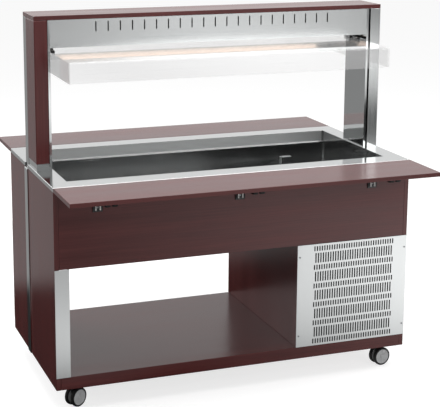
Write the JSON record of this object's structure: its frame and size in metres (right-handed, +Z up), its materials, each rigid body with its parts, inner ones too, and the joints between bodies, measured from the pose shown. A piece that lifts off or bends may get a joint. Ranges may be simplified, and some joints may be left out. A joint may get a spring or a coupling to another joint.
{
  "type": "mobile salad bar",
  "caption": "Rolling serving counter with a long cold well for food pans, tray slides that fold down at front and back, a lit canopy on end posts and a clear tilting guard.",
  "frame": {"origin": "on the floor, under the middle of the cabinet", "axes": "+Z up, +X along the length from the open storage end to the machine end, -Y towards the front tray slide"},
  "size_m": [1.45, 1.204, 1.466],
  "materials": {
    "laminate": "dark brown high-pressure laminate on board, semi-gloss, edges banded to match",
    "satin_steel": "stainless steel sheet with a fine satin grain",
    "polished_steel": "stainless steel sheet, bright rolled finish",
    "clear_acrylic": "clear cast acrylic, polished",
    "black_plastic": "moulded black plastic, fine matt grain",
    "grey_plastic": "moulded grey plastic, matt",
    "wheel_rubber": "black solid tread on moulded wheels",
    "black_paint": "black powder coat, satin",
    "aluminium_fins": "mill-finish aluminium fins and plate",
    "lamp_glass": "warm white diffuser with white end fittings"
  },
  "bodies": {
    "cabinet": {"base_board": "laminate", "end_panel_left_front": "laminate", "end_panel_left_back": "laminate", "end_panel_right_back": "laminate", "end_panel_right_front": "laminate", "upright_left": "satin_steel", "upright_right": "satin_steel", "post_cover_left": "polished_steel", "post_cover_right": "polished_steel", "post_cladding_left": "laminate", "post_cladding_right": "laminate", "apron_front": "laminate", "apron_back": "laminate", "stile_front": "satin_steel", "stile_back": "satin_steel", "divider_panel": "laminate", "grille_front": "satin_steel", "service_panel": "satin_steel", "thermostat": "black_plastic", "compressor": "black_paint", "condenser": "aluminium_fins", "worktop": "satin_steel", "well": "polished_steel", "drain_outlet": "grey_plastic", "top_shelf": "laminate", "hood_housing": "satin_steel", "lamp": "lamp_glass", "console_plate_front_left": "satin_steel", "console_plate_front_centre": "satin_steel", "console_plate_front_right": "satin_steel", "console_plate_back_left": "satin_steel", "console_plate_back_centre": "satin_steel", "console_plate_back_right": "satin_steel", "caster_plate_front_left": "satin_steel", "caster_plate_front_right": "satin_steel", "caster_plate_back_left": "satin_steel", "caster_plate_back_right": "satin_steel"},
    "guard": {"guard": "clear_acrylic", "guard_bar_left": "black_paint", "guard_bar_right": "black_paint"},
    "tray_front": {"tray_front": "laminate", "console_arm_front_left": "satin_steel", "console_arm_front_centre": "satin_steel", "console_arm_front_right": "satin_steel"},
    "tray_back": {"tray_back": "laminate", "console_arm_back_left": "satin_steel", "console_arm_back_centre": "satin_steel", "console_arm_back_right": "satin_steel"},
    "swivel_front_left": {"caster_fork_front_left": "black_plastic"},
    "wheels_front_left": {"caster_wheels_front_left": "wheel_rubber"},
    "swivel_front_right": {"caster_fork_front_right": "black_plastic"},
    "wheels_front_right": {"caster_wheels_front_right": "wheel_rubber"},
    "swivel_back_left": {"caster_fork_back_left": "black_plastic"},
    "wheels_back_left": {"caster_wheels_back_left": "wheel_rubber"},
    "swivel_back_right": {"caster_fork_back_right": "black_plastic"},
    "wheels_back_right": {"caster_wheels_back_right": "wheel_rubber"},
    "brake_back_left": {"caster_brake_back_left": "black_plastic"},
    "brake_back_right": {"caster_brake_back_right": "black_plastic"},
    "fan": {"fan": "black_plastic"},
    "power_switch": {"power_switch": "black_plastic"}
  },
  "joints": [
    {"name": "tray_front_fold", "type": "hinge", "parent": "cabinet", "child": "tray_front", "pos_m": [0, -0.3765, 0.848], "axis": [1, 0, 0], "range_deg": [0, 90]},
    {"name": "tray_back_fold", "type": "hinge", "parent": "cabinet", "child": "tray_back", "pos_m": [0, 0.3765, 0.848], "axis": [-1, 0, 0], "range_deg": [0, 90]},
    {"name": "guard_tilt", "type": "hinge", "parent": "cabinet", "child": "guard", "pos_m": [0, 0, 1.3258], "axis": [1, 0, 0], "range_deg": [-12, 12]},
    {"name": "swivel_front_left_turn", "type": "hinge", "parent": "cabinet", "child": "swivel_front_left", "pos_m": [-0.645, -0.2905, 0], "axis": [0, 0, 1], "continuous": true},
    {"name": "wheels_front_left_roll", "type": "hinge", "parent": "swivel_front_left", "child": "wheels_front_left", "pos_m": [-0.63201, -0.283, 0.0375], "axis": [-0.5, 0.866, 0], "continuous": true},
    {"name": "swivel_front_right_turn", "type": "hinge", "parent": "cabinet", "child": "swivel_front_right", "pos_m": [0.645, -0.2905, 0], "axis": [0, 0, 1], "continuous": true},
    {"name": "wheels_front_right_roll", "type": "hinge", "parent": "swivel_front_right", "child": "wheels_front_right", "pos_m": [0.65985, -0.28841, 0.0375], "axis": [-0.1392, 0.9903, 0], "continuous": true},
    {"name": "swivel_back_left_turn", "type": "hinge", "parent": "cabinet", "child": "swivel_back_left", "pos_m": [-0.645, 0.2905, 0], "axis": [0, 0, 1], "continuous": true},
    {"name": "wheels_back_left_roll", "type": "hinge", "parent": "swivel_back_left", "child": "wheels_back_left", "pos_m": [-0.6309, 0.29563, 0.0375], "axis": [-0.342, 0.9397, 0], "continuous": true},
    {"name": "swivel_back_right_turn", "type": "hinge", "parent": "cabinet", "child": "swivel_back_right", "pos_m": [0.645, 0.2905, 0], "axis": [0, 0, 1], "continuous": true},
    {"name": "wheels_back_right_roll", "type": "hinge", "parent": "swivel_back_right", "child": "wheels_back_right", "pos_m": [0.66, 0.2905, 0.0375], "axis": [0, 1, 0], "continuous": true},
    {"name": "brake_back_left_press", "type": "hinge", "parent": "swivel_back_left", "child": "brake_back_left", "pos_m": [-0.59608, 0.3083, 0.0625], "axis": [-0.342, 0.9397, 0], "range_deg": [0, 18]},
    {"name": "brake_back_right_press", "type": "hinge", "parent": "swivel_back_right", "child": "brake_back_right", "pos_m": [0.69706, 0.2905, 0.0625], "axis": [0, 1, 0], "range_deg": [0, 18]},
    {"name": "fan_spin", "type": "hinge", "parent": "cabinet", "child": "fan", "pos_m": [0.4855, -0.265, 0.32], "axis": [0, 1, 0], "continuous": true},
    {"name": "power_switch_rock", "type": "hinge", "parent": "cabinet", "child": "power_switch", "pos_m": [0.5285, 0.3631, 0.496], "axis": [1, 0, 0], "range_deg": [0, 16]}
  ]
}
